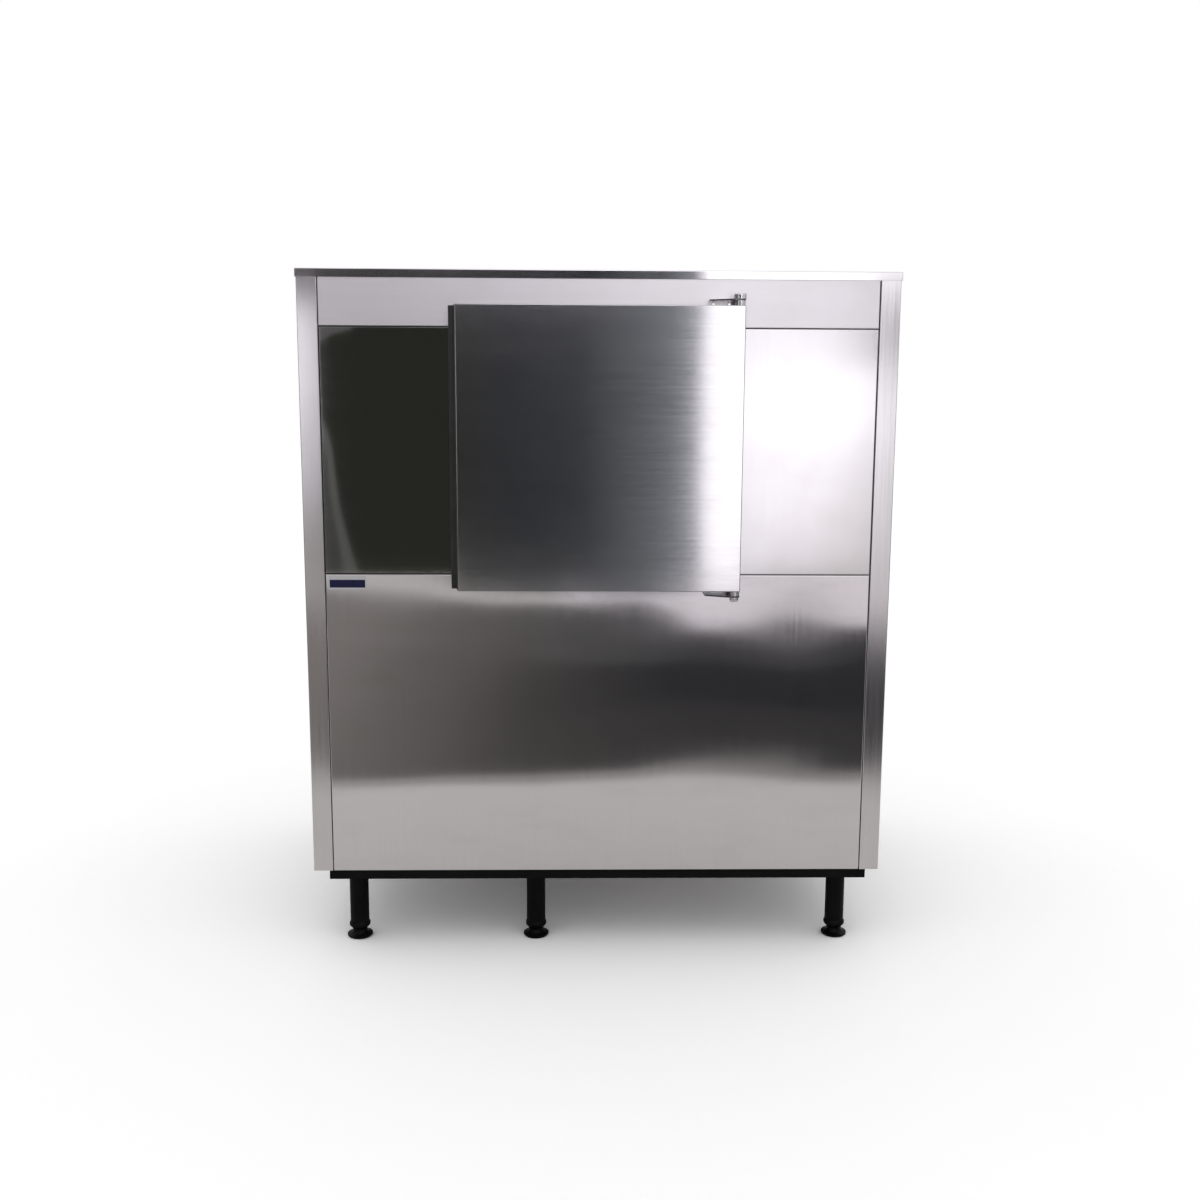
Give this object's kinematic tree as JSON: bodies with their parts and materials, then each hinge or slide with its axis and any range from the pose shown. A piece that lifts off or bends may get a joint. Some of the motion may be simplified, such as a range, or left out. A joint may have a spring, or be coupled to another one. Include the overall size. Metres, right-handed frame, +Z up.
{
  "type": "ice storage bin",
  "caption": "Insulated stainless-steel ice storage bin on levelling legs, with an open top for an ice machine, a lined tank with a floor drain and a hinged square front door.",
  "frame": {"origin": "floor level under the centre of the whole outline", "axes": "+Z up, the door faces -Y, +X to the right as seen from the front"},
  "size_m": [1.22, 0.912, 1.43],
  "materials": {
    "stainless_brushed": "satin",
    "stainless_polished": "polished",
    "black_painted_steel": "satin",
    "black_plastic": "matte",
    "insulation_foam": "matte",
    "white_liner_plastic": "satin",
    "clear_baffle_plastic": "gloss",
    "zinc_plated_steel": "satin",
    "grey_drain_plastic": "satin",
    "polished_hardware": "polished",
    "blank_plate_film": "gloss",
    "gasket_rubber": "matte"
  },
  "bodies": {
    "cabinet": {"back_panel": "stainless_brushed", "back_panel_screws": "polished_hardware", "baffle_channels": "white_liner_plastic", "base_cross_member": "black_painted_steel", "base_rail_front": "black_painted_steel", "base_rail_rear": "black_painted_steel", "base_side_rails": "black_painted_steel", "blank_plate": "blank_plate_film", "doorway_frame": "white_liner_plastic", "drain_fitting": "grey_drain_plastic", "drain_locknut": "grey_drain_plastic", "drain_strainer": "polished_hardware", "floor_pan": "stainless_brushed", "header_panel": "stainless_brushed", "hinge_backing_plates": "zinc_plated_steel", "hinge_bracket_lower": "polished_hardware", "hinge_bracket_upper": "polished_hardware", "hinge_pin_lower": "polished_hardware", "hinge_pin_upper": "polished_hardware", "hinge_screws": "polished_hardware", "infill_panel_left": "stainless_polished", "infill_panel_right": "stainless_brushed", "insulation_back": "insulation_foam", "insulation_floor": "insulation_foam", "insulation_front_lower": "insulation_foam", "insulation_header": "insulation_foam", "insulation_infills": "insulation_foam", "insulation_left": "insulation_foam", "insulation_right": "insulation_foam", "leg_front_left": "black_plastic", "leg_front_middle": "black_plastic", "leg_front_right": "black_plastic", "leg_rear_left": "black_plastic", "leg_rear_middle": "black_plastic", "leg_rear_right": "black_plastic", "leg_studs": "zinc_plated_steel", "liner_back_wall": "white_liner_plastic", "liner_floor": "white_liner_plastic", "liner_front_jambs": "white_liner_plastic", "liner_front_lower": "white_liner_plastic", "liner_front_upper": "white_liner_plastic", "liner_side_walls": "white_liner_plastic", "lower_front_panel": "stainless_brushed", "side_panel_left": "stainless_brushed", "side_panel_right": "stainless_brushed", "strap_inserts": "zinc_plated_steel", "top_panel": "stainless_brushed"},
    "door": {"door_skin": "stainless_brushed", "door_insulation": "insulation_foam", "door_inner_pan": "white_liner_plastic", "door_gasket": "gasket_rubber", "door_pull": "black_plastic", "hinge_bushes": "polished_hardware"},
    "ice_baffle": {"ice_baffle": "clear_baffle_plastic"},
    "foot_front_left": {"foot_front_left": "black_plastic"},
    "foot_front_middle": {"foot_front_middle": "black_plastic"},
    "foot_front_right": {"foot_front_right": "black_plastic"},
    "foot_rear_left": {"foot_rear_left": "black_plastic"},
    "foot_rear_middle": {"foot_rear_middle": "black_plastic"},
    "foot_rear_right": {"foot_rear_right": "black_plastic"}
  },
  "joints": [
    {"name": "door_hinge", "type": "hinge", "parent": "cabinet", "child": "door", "pos_m": [0.278, -0.432, 1.07275], "axis": [0, 0, 1], "range_deg": [0, 180]},
    {"name": "baffle_lift", "type": "slide", "parent": "cabinet", "child": "ice_baffle", "axis": [0, 0, 1], "range_m": [0, 0.165]},
    {"name": "foot_front_left_levelling", "type": "slide", "parent": "cabinet", "child": "foot_front_left", "axis": [0, 0, -1], "range_m": [0, 0.025]},
    {"name": "foot_front_middle_levelling", "type": "slide", "parent": "cabinet", "child": "foot_front_middle", "axis": [0, 0, -1], "range_m": [0, 0.025]},
    {"name": "foot_front_right_levelling", "type": "slide", "parent": "cabinet", "child": "foot_front_right", "axis": [0, 0, -1], "range_m": [0, 0.025]},
    {"name": "foot_rear_left_levelling", "type": "slide", "parent": "cabinet", "child": "foot_rear_left", "axis": [0, 0, -1], "range_m": [0, 0.025]},
    {"name": "foot_rear_middle_levelling", "type": "slide", "parent": "cabinet", "child": "foot_rear_middle", "axis": [0, 0, -1], "range_m": [0, 0.025]},
    {"name": "foot_rear_right_levelling", "type": "slide", "parent": "cabinet", "child": "foot_rear_right", "axis": [0, 0, -1], "range_m": [0, 0.025]}
  ]
}
